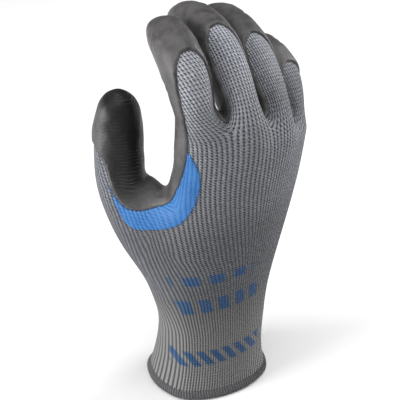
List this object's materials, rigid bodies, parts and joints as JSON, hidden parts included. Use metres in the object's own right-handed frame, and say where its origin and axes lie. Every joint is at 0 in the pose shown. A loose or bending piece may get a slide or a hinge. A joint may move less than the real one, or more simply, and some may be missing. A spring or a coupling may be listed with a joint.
{
  "type": "coated work glove",
  "caption": "Right-hand knitted work glove with a latex coated palm, fingers and thumb, a blue band round the thumb's crotch and an overlocked flared cuff, shaped by a gripping hand",
  "frame": {"origin": "middle of the cuff's mouth, where a wrist goes in", "axes": "+Z from the cuff up to the fingers, the longest extent, -Y out of the back of the hand, -X towards the thumb"},
  "size_m": [0.1031, 0.0806, 0.1925],
  "materials": {
    "grey_knit": "grey seamless rib knit",
    "charcoal_latex": "matte foamed latex, finely wrinkled",
    "blue_latex": "matte latex soaked into the knit",
    "hem_thread": "dark grey overlock stitching"
  },
  "bodies": {
    "root": {"knit_shell": "grey_knit", "palm_coating": "charcoal_latex", "thumb_crotch_band": "blue_latex", "cuff_hem": "hem_thread"}
  },
  "joints": []
}
